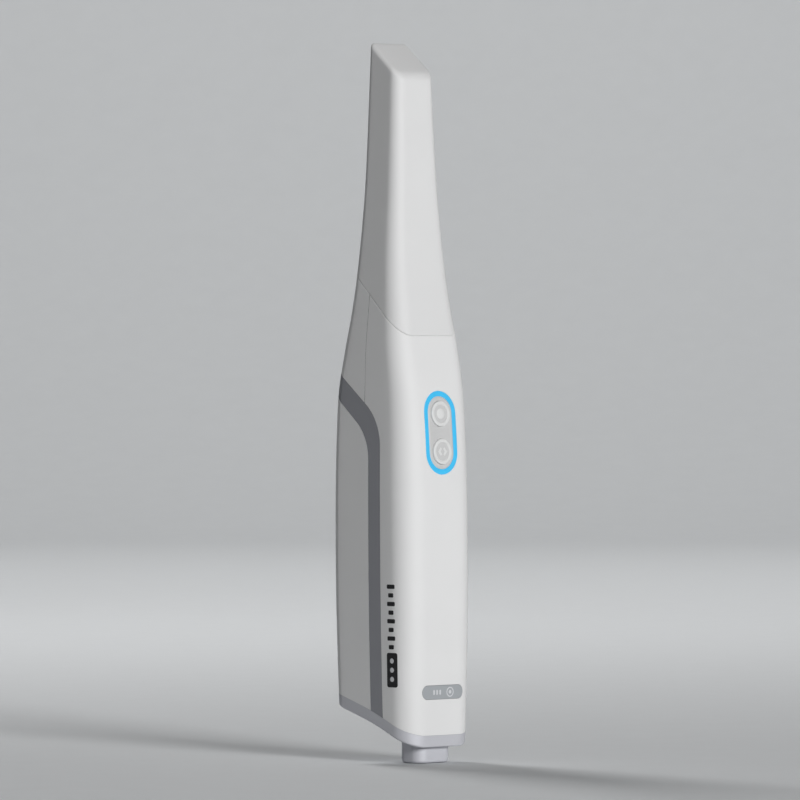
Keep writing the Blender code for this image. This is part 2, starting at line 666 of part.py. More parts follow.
# ---------------------------------------------------------------- optical engine
def make_engine():
    steel = material("spring_steel", STEEL, 0.3, 1.0)
    glass = material("glass", GLASS, 0.05)
    aluminium = material("aluminium", ALUMINIUM, 0.4, 1.0)
    frame = upright_prism("optical_frame", rounded_rectangle(ENGINE_WIDTH, ENGINE_DEPTH, 2 * MM),
                          ENGINE_BOTTOM, ENGINE_TOP, (0, ENGINE_Y), aluminium)
    barrels = (("projector", 0.0, PROJECTOR_RADIUS), ("camera_left", -CAMERA_X, CAMERA_RADIUS),
               ("camera_right", CAMERA_X, CAMERA_RADIUS))
    for name, x, radius in barrels:
        cut(frame, upright_prism(f"{name}_bore", circle(radius + GAP), ENGINE_BOTTOM - OVER,
                                 ENGINE_TOP + OVER, (x, ENGINE_Y)))
        barrel = upright_prism(f"{name}_barrel", circle(radius), ENGINE_BOTTOM + MM, BARREL_TOP,
                               (x, ENGINE_Y), steel)
        cut(barrel, upright_prism(f"{name}_lens_seat", circle(radius - 0.5 * MM), BARREL_TOP - 2 * MM,
                                  BARREL_TOP + OVER, (x, ENGINE_Y)))
        rim = radius - 0.5 * MM - GAP
        turned(f"{name}_lens", ((rim, BARREL_TOP - 1.7 * MM), (rim, BARREL_TOP - 0.9 * MM),
                                (rim * 0.6, BARREL_TOP - 0.4 * MM)), (x, ENGINE_Y), glass, 16)
    board = rounded_rectangle(ENGINE_WIDTH, ENGINE_DEPTH, 1 * MM, 2)
    upright_prism("sensor_board", board, ENGINE_BOTTOM - GAP - BOARD_THICK, ENGINE_BOTTOM - GAP,
                  (0, ENGINE_Y), material("board_green", BOARD_GREEN, 0.5))
    top = ENGINE_BOTTOM - 2 * GAP - BOARD_THICK
    ribbon = ((2.2 * MM, top), (2.0 * MM, top - 4 * MM), (0.8 * MM, top - 8 * MM),
              (0.9 * MM, BOARD_TOP - 4 * MM))
    make_strip("ribbon_cable", ribbon, 0.4 * MM, 5 * MM, material("amber_film", AMBER, 0.4))


# ---------------------------------------------------------------- boards and chassis
def make_chassis():
    aluminium = material("aluminium", ALUMINIUM, 0.4, 1.0)
    half = BOARD_WIDTH / 2
    back = CHASSIS_Y + CHASSIS_THICK
    outline = ((FOOT_FRONT, CHASSIS_BOTTOM), (back, CHASSIS_BOTTOM), (back, CHASSIS_TOP),
               (CHASSIS_Y, CHASSIS_TOP), (CHASSIS_Y, CHASSIS_BOTTOM + FOOT_THICK),
               (FOOT_FRONT, CHASSIS_BOTTOM + FOOT_THICK))
    chassis = side_prism("chassis", outline, half, aluminium)
    for i in range(FIN_COUNT):
        x = (i - (FIN_COUNT - 1) / 2) * FIN_PITCH
        add(chassis, box(f"chassis_fin_{i + 1}", (x - FIN_THICK / 2, back - 0.2 * MM, FIN_BOTTOM),
                         (x + FIN_THICK / 2, back + FIN_DEPTH, FIN_TOP)))
    for side, x in sides(SCREW_X):
        cut(chassis, upright_prism(f"chassis_{side}_foot_hole", circle(SCREW_HOLE, 16),
                                   CHASSIS_BOTTOM - OVER, CHASSIS_BOTTOM + OVER, (x, CAP_SCREW_Y)))
    return chassis


def fore_aft_turned(name, steps, x, z, finish=None, sides_round=16):
    """A body turned about a line along Y: (radius, depth) from its front to its rear."""
    def shape_it(shape):
        bridge_rings(shape, [[(x + px, y, z + pz) for px, pz in circle(radius, sides_round)]
                             for radius, y in steps])
    return new_object(name, shape_it, finish)


def make_boards():
    green = material("board_green", BOARD_GREEN, 0.5)
    half = BOARD_WIDTH / 2
    board_back = BOARD_Y + MAIN_BOARD_THICK
    board = box("main_board", (-half, BOARD_Y, BOARD_BOTTOM), (half, board_back, BOARD_TOP), green)
    chassis = make_chassis()
    steel = material("spring_steel", STEEL, 0.3, 1.0)
    for side, x in sides(SCREW_X):
        for level, z in (("lower", BOARD_BOTTOM + 8 * MM), ("upper", CHASSIS_TOP - 8 * MM)):
            name = f"board_screw_{level}_{side}"
            add(chassis, fore_aft_turned(name + "_standoff", ((STANDOFF_RADIUS, board_back + GAP),
                                                              (STANDOFF_RADIUS, CHASSIS_Y + MM)), x, z))
            hole = ((SCREW_HOLE, 0.0), (SCREW_HOLE, CHASSIS_Y + CHASSIS_THICK + OVER))
            cut(board, fore_aft_turned(name + "_board_hole", hole, x, z))
            cut(chassis, fore_aft_turned(name + "_chassis_hole", hole, x, z))
            seat = BOARD_Y - GAP
            screw = ((SCREW_HEAD, seat - HEAD_THICK), (SCREW_HEAD, seat), (SCREW_RADIUS, seat),
                     (SCREW_RADIUS, CHASSIS_Y + MM))
            fore_aft_turned(name, screw, x, z, steel)
    half = CHIP_SIZE / 2
    middle = (FIN_BOTTOM + FIN_TOP) / 2
    chip_back = board_back + CHIP_BACK
    box("processor_chip", (-half, board_back + GAP, middle - half), (half, chip_back, middle + half),
        material("nose_plastic", BLACK, 0.45))
    box("thermal_pad", (-half, chip_back + GAP, middle - half), (half, CHASSIS_Y - GAP, middle + half),
        material("thermal_pad", PAD_GREY, 0.9))
    box("board_connector", (-5 * MM, BOARD_Y - GAP - 2.4 * MM, BOARD_BOTTOM + 7.5 * MM),
        (5 * MM, BOARD_Y - GAP, BOARD_BOTTOM + 13 * MM), material("ivory_plastic", IVORY, 0.5))


def make_cap_screws():
    steel = material("spring_steel", STEEL, 0.3, 1.0)
    seat = base_height(CAP_SCREW_Y, CAP_SCREW_SEAT) - GAP
    screw = ((CAP_SCREW_HEAD, seat - HEAD_THICK), (CAP_SCREW_HEAD, seat), (SCREW_RADIUS, seat),
             (SCREW_RADIUS, CHASSIS_BOTTOM + FOOT_THICK + MM))
    for side, x in sides(SCREW_X):
        turned(f"cap_screw_{side}", screw, (x, CAP_SCREW_Y), steel)


def clear_scene():
    for old in list(bpy.data.objects):
        bpy.data.objects.remove(old)


def build():
    clear_scene()
    make_tip_sleeve()
    make_tip_mirror()
    make_nose()
    make_front_shell()
    make_rear_upper_shell()
    make_trim_band()
    make_rear_cover()
    make_bottom_cap()
    make_panel()
    label_slab("label_inlay", 0.0, -0.02 * MM, LABEL_THICK, material("label_plastic", LABEL_GREY, 0.4))
    make_socket()
    make_engine()
    make_boards()
    make_cap_screws()


build()
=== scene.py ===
import json
import math

import bmesh
import bpy
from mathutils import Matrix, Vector


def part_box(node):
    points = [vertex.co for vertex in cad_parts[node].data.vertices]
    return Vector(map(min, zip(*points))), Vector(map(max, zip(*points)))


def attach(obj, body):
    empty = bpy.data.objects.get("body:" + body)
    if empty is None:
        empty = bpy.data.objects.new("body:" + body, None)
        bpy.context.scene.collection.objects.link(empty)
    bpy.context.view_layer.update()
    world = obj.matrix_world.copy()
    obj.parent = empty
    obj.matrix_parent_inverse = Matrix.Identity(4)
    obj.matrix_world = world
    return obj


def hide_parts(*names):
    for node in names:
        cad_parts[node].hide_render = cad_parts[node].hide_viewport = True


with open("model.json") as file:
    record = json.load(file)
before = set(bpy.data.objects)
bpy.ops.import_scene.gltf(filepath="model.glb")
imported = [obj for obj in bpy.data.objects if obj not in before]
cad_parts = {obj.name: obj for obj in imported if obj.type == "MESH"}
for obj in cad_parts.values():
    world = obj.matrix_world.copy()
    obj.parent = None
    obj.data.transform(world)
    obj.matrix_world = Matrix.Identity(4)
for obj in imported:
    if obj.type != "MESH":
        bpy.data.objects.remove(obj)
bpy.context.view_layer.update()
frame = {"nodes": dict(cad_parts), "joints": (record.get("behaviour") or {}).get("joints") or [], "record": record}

MM = 0.001
QUARTER = math.pi / 2
HANDPIECE = "handpiece"
TIP = "tip"

# ---------------------------------------------------------------- the outer skin, as the CAD has it
# height, width, depth, middle of the depth, front corner radius, rear corner radius, in mm
PROFILE = (
    (0, 31.4, 36.6, -0.15, 8.0, 4.0),
    (20, 33.1, 36.9, -0.25, 8.2, 4.0),
    (56, 34.5, 38.1, -0.1, 8.6, 4.0),
    (91, 34.7, 38.1, 0.1, 9.0, 4.0),
    (111, 34.4, 37.0, 0.35, 8.6, 4.0),
    (129, 33.9, 34.5, 0.7, 7.8, 4.0),
    (144, 33.0, 29.1, 0.6, 7.0, 4.0),
    (160, 29.8, 23.7, 0.7, 6.2, 3.6),
    (178, 26.5, 19.7, 1.0, 5.4, 3.2),
    (200, 22.8, 17.2, 1.2, 4.6, 2.8),
    (226, 19.9, 15.7, 1.5, 4.0, 2.4),
    (256, 17.7, 14.2, 1.55, 3.6, 2.0),
)
PARTING_FRONT = (-13.15 * MM, 148.7 * MM)  # depth and height of the tip joint on the front face
PARTING_SLOPE = 0.91
TIP_FACE_FRONT = (-6.0 * MM, 239.6 * MM)
TIP_FACE_SLOPE = 0.85
BASE_LINE = ((-18.4 * MM, 5.1 * MM), (-0.4 * MM, 13.5 * MM), (15.0 * MM, 18.5 * MM))
BASE_BLEND = 0.4 * MM  # softens the bend of the base line
SEAM_Y = 2.7 * MM
# upright edge's depth, height of the bend's corner, slope behind the bend, bend radius
TRIM_OUTER_EDGE = (-5.0 * MM, 119.1 * MM, 0.81, 19 * MM)
TRIM_INNER_EDGE = (0.7 * MM, 113.6 * MM, 0.865, 18 * MM)
TRIM_LEAN = 0.006  # the band's foot stands a little ahead of its bend
CAP_HEIGHT = 4.5 * MM
CAP_FLOOR = 2.0 * MM
SOCKET_CORNER = 4.3 * MM
SHELL_WALL = 2.0 * MM
TIP_WALL = 1.6 * MM
NOSE_INSET = 2.4 * MM
NOSE_WALL = 1.6 * MM
WINDOW_SIZE = (13.6 * MM, 14.5 * MM)
WINDOW_MIDDLE = 239.75 * MM
WINDOW_CORNER = 2 * MM
WINDOW_FLARE = 0.45 * MM
HEAD_HOLE_RADIUS = 2.4 * MM  # the two screws that hold the bottom cap
HEAD_HOLE_DEPTH = 1.5 * MM
SCREW_HOLE_RADIUS = 1.3 * MM

# ---------------------------------------------------------------- how finely it is made
CORNER_STEPS = 12
FLAT_STEPS = 9  # odd, so that no point of an outline lies on the middle plane
SIDE_STEPS = CORNER_STEPS + FLAT_STEPS
RING = range(4 * SIDE_STEPS)
EDGE_STEPS = 6  # facets round a rounded edge
ROW_STEP = 2.5 * MM
REACH = 30 * MM  # past the body on every side
BELOW = -20 * MM  # lower than the body
ABOVE = 220 * MM  # higher than every shell
INSIDE = 40 * MM  # inside the body, higher than the whole base
SEAM = 0.2 * MM  # width of the joint lines between shells
TIP_SEAM = 0.2 * MM
CAP_SEAM = 0.06 * MM
JOINT_SHADE_DEPTH = 0.05 * MM  # how far the dark strip in the upright joint lies below the skin; the strip is painted shade for the shadow inside the joint
PATCH_END_STEPS = 8  # columns at each rounded end of a printed shape
PATCH_HALF_STEPS = 6  # columns from there to its middle, so that it follows the skin
SEAM_ROUND = 0.15 * MM
TIP_ROUND = 1.9 * MM
CAP_ROUND = 1.0 * MM

# ---------------------------------------------------------------- key panel
PRESS = Vector(next(j["axis"] for j in frame["joints"] if j["name"] == "upper_button_press")).normalized()
UP_PANEL = Vector((0, -PRESS.z, PRESS.y))
RING_LOW, RING_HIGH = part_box("light_ring")
PANEL_Z = (RING_LOW.z + RING_HIGH.z) / 2
RING_WIDTH = RING_HIGH.x - RING_LOW.x
RING_LENGTH = 29.1 * MM
RING_BAND = 1.75 * MM
RING_DEPTH = 2.4 * MM
KEY_RADIUS = 4.5 * MM
RIM_INNER = 3.2 * MM
RIM_STEPS = 12  # facets over the rim
KEY_SPACING = 13.2 * MM
KEY_CLEARANCE = 0.03 * MM
PLATE_CLEARANCE = 0.1 * MM
BULGE = 0.35 * MM  # how far the middle of the key plate stands out
KEY_FACE = -0.35 * MM
RIM_TOP = -0.68 * MM
OUT_OF_SKIN = -5 * MM  # depths that a tool cutting the panel's wall starts and ends at
UNDER_WALL = 9 * MM


# ---------------------------------------------------------------- the skin's shape
def profile_at(height):
    """The skin's measures at a height, on a smooth curve through PROFILE, in metres."""
    z = height / MM
    last = len(PROFILE) - 2
    i = min(max(sum(1 for row in PROFILE if row[0] <= z) - 1, 0), last)
    low, high = PROFILE[i], PROFILE[i + 1]
    before = PROFILE[max(i - 1, 0)]
    after = PROFILE[min(i + 2, last + 1)]
    span = high[0] - low[0]
    t = (z - low[0]) / span
    values = []
    for k in range(1, len(low)):
        slope_low = (high[k] - before[k]) / (high[0] - before[0]) * span
        slope_high = (after[k] - low[k]) / (after[0] - low[0]) * span
        value = ((2 * t**3 - 3 * t**2 + 1) * low[k] + (t**3 - 2 * t**2 + t) * slope_low
                 + (3 * t**2 - 2 * t**3) * high[k] + (t**3 - t**2) * slope_high)
        values.append(value * MM)
    return values


def corner_point(corner, turn, height, inset):
    """A point of a rounded corner; corners run rear right, rear left, front left, front right."""
    width, depth, middle, front_radius, rear_radius = profile_at(height)
    radius = max((rear_radius if corner < 2 else front_radius) - inset, 0.5 * MM)
    x = width / 2 - inset - radius
    y = depth / 2 - inset - radius
    sign_x = 1 if corner in (0, 3) else -1
    sign_y = 1 if corner < 2 else -1
    return Vector((sign_x * x + radius * math.cos(turn),
                   sign_y * y + radius * math.sin(turn) + middle, height))


def skin_point(index, height, inset):
    """Point number index of the skin's outline at a height, drawn in by inset."""
    corner, step = divmod(index, SIDE_STEPS)
    if step <= CORNER_STEPS:
        return corner_point(corner, QUARTER * (corner + step / CORNER_STEPS), height, inset)
    start = corner_point(corner, QUARTER * (corner + 1), height, inset)
    end = corner_point((corner + 1) % 4, QUARTER * (corner + 1), height, inset)
    return start.lerp(end, (step - CORNER_STEPS) / FLAT_STEPS)


def front_of_skin(height):
    depth, middle = profile_at(height)[1:3]
    return middle - depth / 2


def rear_of_skin(height):
    depth, middle = profile_at(height)[1:3]
    return middle + depth / 2


def meet(index, surface, inset):
    """Where line number index up the skin meets a surface that gives height for depth."""
    height = surface(0)
    for _ in range(8):  # each round brings the height closer to where they meet
        height = surface(skin_point(index, height, inset).y)
    return height


def ring_on(surface, inset):
    """The skin's outline on a sloped surface, drawn in by inset."""
    return [skin_point(i, meet(i, surface, inset), inset) for i in RING]


def rings_between(low, high, inset, rows):
    """Outlines that lead evenly up the skin from one sloped surface to another."""
    lows = [meet(i, low, inset) for i in RING]
    highs = [meet(i, high, inset) for i in RING]
    return [[skin_point(i, lows[i] + (highs[i] - lows[i]) * row / rows, inset) for i in RING]
            for row in range(rows + 1)]


def rounding(surface, direction, radius, inset=0.0, steps=EDGE_STEPS):
    """Outlines round the edge between the skin and a surface; direction is 1 for a surface above."""
    rings = []
    for k in range(steps + 1):
        turn = QUARTER * k / steps
        drop = radius * (1 - math.sin(turn))
        rings.append(ring_on(raised(surface, -direction * drop), inset + radius * (1 - math.cos(turn))))
    return rings


def raised(surface, rise):
    return lambda y: surface(y) + rise


def level(height):
    return lambda y: height


def parting(y):
    return PARTING_FRONT[1] + PARTING_SLOPE * (y - PARTING_FRONT[0])


def tip_face(y):
    return TIP_FACE_FRONT[1] + TIP_FACE_SLOPE * (y - TIP_FACE_FRONT[0])


def base(y):
    """The bottom line from the side: two slopes with a soft bend between them."""
    (y0, z0), (y1, z1), (y2, z2) = BASE_LINE
    front = z1 + (z1 - z0) / (y1 - y0) * (y - y1)
    rear = z1 + (z2 - z1) / (y2 - y1) * (y - y1)
    return (front + rear - math.hypot(front - rear, BASE_BLEND) + BASE_BLEND) / 2


def trim_edge(edge, shift=0.0, steps=24):
    """An edge of the trim band from its upright foot to the rear, moved rearwards by shift."""
    upright, corner, slope, radius = edge
    turn = QUARTER - math.atan(slope)
    y0 = upright + radius
    z0 = corner - radius * math.tan(turn / 2)
    points = []
    for i in range(steps + 1):
        angle = math.pi - turn * i / steps
        points.append((y0 + radius * math.cos(angle) + shift, z0 + radius * math.sin(angle)))
    y1, z1 = points[-1]
    points.append((REACH, z1 + slope * (REACH - y1)))
    return points


def trim_foot(edge_points):
    """A point far down the line that an edge of the trim band follows to the base."""
    y, z = edge_points[0]
    return (y - TRIM_LEAN * (z - BELOW), BELOW)


def edge_height(edge_points, y):
    for low, high in zip(edge_points, edge_points[1:]):
        if low[0] <= y <= high[0]:
            return low[1] + (high[1] - low[1]) * (y - low[0]) / (high[0] - low[0])
    return edge_points[-1][1]


# ---------------------------------------------------------------- mesh tools
def make_object(name, shape):
    """Turns a bmesh into an object with smooth faces and crisp edges."""
    bmesh.ops.recalc_face_normals(shape, faces=shape.faces)
    mesh = bpy.data.meshes.new(name)
    shape.to_mesh(mesh)
    shape.free()
    made = bpy.data.objects.new(name, mesh)
    bpy.context.scene.collection.objects.link(made)
    crisp(made)
    return made


def crisp(made, angle=32):
    made.data.shade_smooth()
    made.data.set_sharp_from_angle(angle=math.radians(angle))


def add_rings(shape, rings, closed=False):
    """Faces between rings of points; closed joins the last ring to the first."""
    rows = [[shape.verts.new(point) for point in ring] for ring in rings]
    following = rows[1:] + (rows[:1] if closed else [])
    for low, high in zip(rows, following):
        for i in range(len(low)):
            j = (i + 1) % len(low)
            shape.faces.new((low[i], low[j], high[j], high[i]))
    return rows


def solid(name, rings):
    """A body through rings of points, with flat ends."""
    shape = bmesh.new()
    rows = add_rings(shape, rings)
    shape.faces.new(rows[0][::-1])
    shape.faces.new(rows[-1])
    return make_object(name, shape)


def hollow_ring(name, rings):
    """A body with a way through: the rings run up outside and come back down inside."""
    shape = bmesh.new()
    add_rings(shape, rings, closed=True)
    return make_object(name, shape)


def span_across(shape, row):
    """Closes a skin outline with strips from its left side to its right side."""
    count = len(row)
    half = (SIDE_STEPS + CORNER_STEPS) // 2
    pairs = [(row[(half - k) % count], row[(half + 1 + k) % count]) for k in range(count // 2)]
    for (a, b), (c, d) in zip(pairs, pairs[1:]):
        shape.faces.new((a, b, d, c))


def capped(name, rings):
    """A body through skin outlines whose ends are closed by strips."""
    shape = bmesh.new()
    rows = add_rings(shape, rings)
    span_across(shape, rows[0])
    span_across(shape, rows[-1])
    return make_object(name, shape)


def prism(name, outline, half_width):
    """An outline in Y and Z, extruded along X to both sides."""
    return solid(name, [[Vector((x, y, z)) for y, z in outline] for x in (-half_width, half_width)])


def apply_boolean(target, tool, operation="DIFFERENCE"):
    """Cuts, or keeps what is inside the tool, then throws the tool away."""
    step = target.modifiers.new("cut", "BOOLEAN")
    step.operation = operation
    step.solver = "EXACT"
    step.object = tool
    bake_modifiers(target)
    bpy.data.objects.remove(tool)


def bake_modifiers(target):
    """Makes the shape that the modifiers give the object's own mesh."""
    graph = bpy.context.evaluated_depsgraph_get()
    mesh = bpy.data.meshes.new_from_object(target.evaluated_get(graph))
    target.modifiers.clear()
    target.data = mesh
    crisp(target)


def circle(radius, steps=64):
    return [(radius * math.cos(2 * math.pi * i / steps), radius * math.sin(2 * math.pi * i / steps))
            for i in range(steps)]


def stadium(width, length, steps=32):
    radius = width / 2
    reach = length / 2 - radius
    points = []
    for middle, start in ((reach, 0), (-reach, math.pi)):
        for i in range(steps + 1):
            turn = start + math.pi * i / steps
            points.append((radius * math.cos(turn), middle + radius * math.sin(turn)))
    return points


def rounded_rectangle(width, depth, radius, steps=10):
    points = []
    for corner, (sx, sy) in enumerate(((1, 1), (-1, 1), (-1, -1), (1, -1))):
        for i in range(steps + 1):
            turn = QUARTER * (corner + i / steps)
            points.append((sx * (width / 2 - radius) + radius * math.cos(turn),
                           sy * (depth / 2 - radius) + radius * math.sin(turn)))
    return points


def finish_piece(piece, body, slot, material, *nodes):
    """Gives a piece its finish, the body it rides on and the CAD nodes it stands for."""
    piece.data.materials.clear()
    piece.data.materials.append(material)
    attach(piece, body)
    if nodes:
        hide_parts(*nodes)


# ---------------------------------------------------------------- materials
def plastic(name, colour, roughness, grain_mm=0.25, bump=0.04, mottle=0.02, metallic=0.0):
    """Moulded plastic: fine spark-eroded grain, faint clouding of colour and gloss."""
    material = bpy.data.materials.new(name)
    material.use_nodes = True
    nodes = material.node_tree.nodes
    links = material.node_tree.links
    shader = nodes["Principled BSDF"]
    shader.inputs["Specular IOR Level"].default_value = 0.35
    place = nodes.new("ShaderNodeTexCoord")
    cloud = nodes.new("ShaderNodeTexNoise")
    cloud.inputs["Scale"].default_value = 60
    cloud.inputs["Detail"].default_value = 4
    links.new(place.outputs["Object"], cloud.inputs["Vector"])
    tint = nodes.new("ShaderNodeMix")
    tint.data_type = "RGBA"
    tint.inputs["A"].default_value = (*[c * (1 - mottle) for c in colour], 1)
    tint.inputs["B"].default_value = (*[min(c * (1 + mottle), 1) for c in colour], 1)
    links.new(cloud.outputs["Fac"], tint.inputs["Factor"])
    links.new(tint.outputs["Result"], shader.inputs["Base Color"])
    gloss = nodes.new("ShaderNodeMapRange")
    gloss.inputs["To Min"].default_value = roughness - 0.04
    gloss.inputs["To Max"].default_value = roughness + 0.04
    links.new(cloud.outputs["Fac"], gloss.inputs["Value"])
    links.new(gloss.outputs["Result"], shader.inputs["Roughness"])
    grain = nodes.new("ShaderNodeTexNoise")
    grain.inputs["Scale"].default_value = 1 / (grain_mm * MM)
    grain.inputs["Detail"].default_value = 2
    links.new(place.outputs["Object"], grain.inputs["Vector"])
    relief = nodes.new("ShaderNodeBump")
    relief.inputs["Strength"].default_value = bump
    relief.inputs["Distance"].default_value = 0.05 * MM
    links.new(grain.outputs["Fac"], relief.inputs["Height"])
    links.new(relief.outputs["Normal"], shader.inputs["Normal"])
    shader.inputs["Metallic"].default_value = metallic
    return material


def glow(name, colour, light, strength):
    """A lit light guide: even light with a little more over each lamp behind it."""
    material = plastic(name, colour, 0.35, mottle=0.0)
    nodes = material.node_tree.nodes
    links = material.node_tree.links
    shader = nodes["Principled BSDF"]
    lamps = nodes.new("ShaderNodeTexNoise")
    lamps.inputs["Scale"].default_value = 180
    links.new(nodes["Texture Coordinate"].outputs["Object"], lamps.inputs["Vector"])
    output = nodes.new("ShaderNodeMapRange")
    output.inputs["To Min"].default_value = strength * 0.9
    output.inputs["To Max"].default_value = strength * 1.1
    links.new(lamps.outputs["Fac"], output.inputs["Value"])
    links.new(output.outputs["Result"], shader.inputs["Emission Strength"])
    shader.inputs["Emission Color"].default_value = (*light, 1)
    return material


def metal(name, colour, roughness, brushed_mm=0.4):
    """Bare metal with fine marks from its making."""
    return plastic(name, colour, roughness, grain_mm=brushed_mm, bump=0.06, mottle=0.04, metallic=1.0)


def glass(name, tint):
    material = plastic(name, tint, 0.06, bump=0.0, mottle=0.01)
    shader = material.node_tree.nodes["Principled BSDF"]
    shader.inputs["Transmission Weight"].default_value = 0.85
    shader.inputs["IOR"].default_value = 1.5
    shader.inputs["Coat Weight"].default_value = 0.5
    return material


WHITE = plastic("white_plastic", (0.80, 0.80, 0.80), 0.6)
TIP_WHITE = plastic("tip_plastic", (0.765, 0.765, 0.765), 0.6)
TRIM = plastic("trim_plastic", (0.315, 0.32, 0.345), 0.6, grain_mm=0.12, bump=0.06)
CAP = plastic("cap_paint", (0.62, 0.625, 0.665), 0.62, grain_mm=0.12, bump=0.06, metallic=0.25)
PLATE = plastic("plate_plastic", (0.61, 0.61, 0.61), 0.55)
KEY = plastic("button_plastic", (0.62, 0.62, 0.62), 0.55)
RIM = plastic("key_rim", (0.76, 0.765, 0.76), 0.5)
LABEL = plastic("label_plastic", (0.39, 0.41, 0.43), 0.45)
LIGHT_PRINT = plastic("light_print", (0.66, 0.67, 0.69), 0.45)
DARK_PRINT = plastic("dark_print", (0.02, 0.02, 0.022), 0.5)
BLACK = plastic("nose_plastic", (0.02, 0.02, 0.022), 0.5)
# black rubber for the CAD pieces of the seal_rubber slot; the strips in the upright joints use it as painted shade
BLACK_RUBBER_AND_JOINT_SHADE = plastic("seal_rubber", (0.025, 0.025, 0.025), 0.7)
BLUE = glow("light_ring", (0.01, 0.16, 0.32), (0.06, 0.42, 0.66), 0.9)
STEEL = metal("steel", (0.55, 0.56, 0.58), 0.3)
ALUMINIUM = metal("aluminium", (0.62, 0.63, 0.65), 0.4)
GOLD = metal("gold_contact", (0.85, 0.62, 0.25), 0.25)
MIRROR = metal("mirror", (0.92, 0.93, 0.94), 0.05)
GLASS = glass("lens_glass", (0.70, 0.80, 0.84))
BOARD = plastic("board_green", (0.02, 0.14, 0.06), 0.35, mottle=0.15)
AMBER = plastic("amber_film", (0.55, 0.25, 0.05), 0.3, mottle=0.08)
PAD = plastic("thermal_pad", (0.30, 0.32, 0.35), 0.8, mottle=0.05)
IVORY = plastic("ivory_plastic", (0.70, 0.66, 0.55), 0.45)


# ---------------------------------------------------------------- mirror tip and nose
def make_tip():
    """The pull-off tip: open below, closed by a slanted face, with the scan window behind."""
    low = raised(parting, TIP_SEAM / 2)
    inner_end = raised(tip_face, -TIP_WALL * math.hypot(1, TIP_FACE_SLOPE))
    rows = round((TIP_FACE_FRONT[1] - PARTING_FRONT[1]) / ROW_STEP)
    rings = rings_between(inner_end, low, TIP_WALL, rows)
    rings += rounding(low, -1, SEAM_ROUND, steps=2)[::-1]
    rings += rings_between(raised(low, 2 * SEAM_ROUND), raised(tip_face, -TIP_ROUND - MM), 0.0, rows)
    rings += rounding(tip_face, 1, TIP_ROUND)
    tip = capped("tip_shell", rings)
    apply_boolean(tip, window_tool())
    finish_piece(tip, TIP, "tip_plastic", TIP_WHITE, "tip_sleeve")


def window_tool():
    """The scan window's opening, flared where it meets the skin."""
    width, height = WINDOW_SIZE
    skin = rear_of_skin(WINDOW_MIDDLE)
    behind_middle = 4 * MM
    proud = 0.05 * MM
    steps = ((0.0, behind_middle), (0.0, skin - WINDOW_FLARE), (WINDOW_FLARE, skin + proud),
             (WINDOW_FLARE, REACH))
    rings = []
    for grow, y in steps:
        outline = rounded_rectangle(width + 2 * grow, height + 2 * grow, WINDOW_CORNER + grow)
        rings.append([Vector((x, y, WINDOW_MIDDLE + z)) for x, z in outline])
    return solid("window_tool", rings)


def make_nose():
    """The black nose that the tip slides over, with its two spring pockets."""
    low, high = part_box("nose_housing")
    top = level(high.z)
    bottom = level(low.z)
    lip = 1.0 * MM
    rows = round((high.z - low.z) / ROW_STEP)
    inner = NOSE_INSET + NOSE_WALL
    rings = rings_between(bottom, raised(top, -2 * lip), NOSE_INSET, rows)
    rings += rounding(top, 1, lip, NOSE_INSET)
    rings += rings_between(top, bottom, inner, rows // 2)
    nose = hollow_ring("nose_body", rings)
    for side in ("left", "right"):
        low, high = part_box(f"retention_spring_{side}")
        middle = (low + high) / 2
        room = (high - low) / 2 + Vector((0.4 * MM, 0.4 * MM, 0.3 * MM))
        corners = ((-1, -1), (1, -1), (1, 1), (-1, 1))
        pocket = [[middle + Vector((sx * room.x, a * room.y, b * room.z)) for a, b in corners]
                  for sx in (-1, 1)]
        apply_boolean(nose, solid("pocket_tool", pocket))
    finish_piece(nose, HANDPIECE, "nose_plastic", BLACK, "nose_housing")


# ---------------------------------------------------------------- shells
def body_wall(name):
    """The whole body skin between the bottom cap and the tip, before it is parted."""
    low = raised(base, CAP_HEIGHT + CAP_SEAM)
    high = raised(parting, -TIP_SEAM / 2)
    rows = round((PARTING_FRONT[1] - CAP_HEIGHT) / ROW_STEP)
    rings = rings_between(low, raised(high, -2 * SEAM_ROUND), 0.0, rows)
    rings += rounding(high, 1, SEAM_ROUND, steps=2)
    rings += rings_between(high, low, SHELL_WALL, rows // 4)
    return hollow_ring(name, rings)


def make_shell(name, outline, slot, material, node):
    """One shell: the part of the body's wall that lies inside an outline seen from the side."""
    shell = body_wall(name)
    apply_boolean(shell, prism("region", outline, REACH), "INTERSECT")
    if node == "front_shell":
        cut_front_openings(shell)
    finish_piece(shell, HANDPIECE, slot, material, node)


def make_shells():
    outer = trim_edge(TRIM_OUTER_EDGE, -SEAM / 2)
    seam = SEAM_Y - SEAM / 2
    front = [(-REACH, BELOW), trim_foot(outer)] + [p for p in outer if p[0] < seam]
    front += [(seam, edge_height(outer, seam)), (seam, ABOVE), (-REACH, ABOVE)]
    make_shell("front_body", front, "white_plastic", WHITE, "front_shell")

    seam = SEAM_Y + SEAM / 2
    upper = [(seam, edge_height(outer, seam))] + [p for p in outer if p[0] > seam]
    upper += [(REACH, ABOVE), (seam, ABOVE)]
    make_shell("rear_upper_body", upper, "white_plastic", WHITE, "rear_upper_shell")

    outer = trim_edge(TRIM_OUTER_EDGE, SEAM / 2)
    inner = trim_edge(TRIM_INNER_EDGE, -SEAM / 2)
    band = [trim_foot(outer), trim_foot(inner)] + inner + outer[::-1]
    make_shell("trim_arch", band, "trim_plastic", TRIM, "trim_band")

    inner = trim_edge(TRIM_INNER_EDGE, SEAM / 2)
    panel = inner + [(REACH, BELOW), trim_foot(inner)]
    make_shell("rear_panel", panel, "white_plastic", WHITE, "rear_cover")


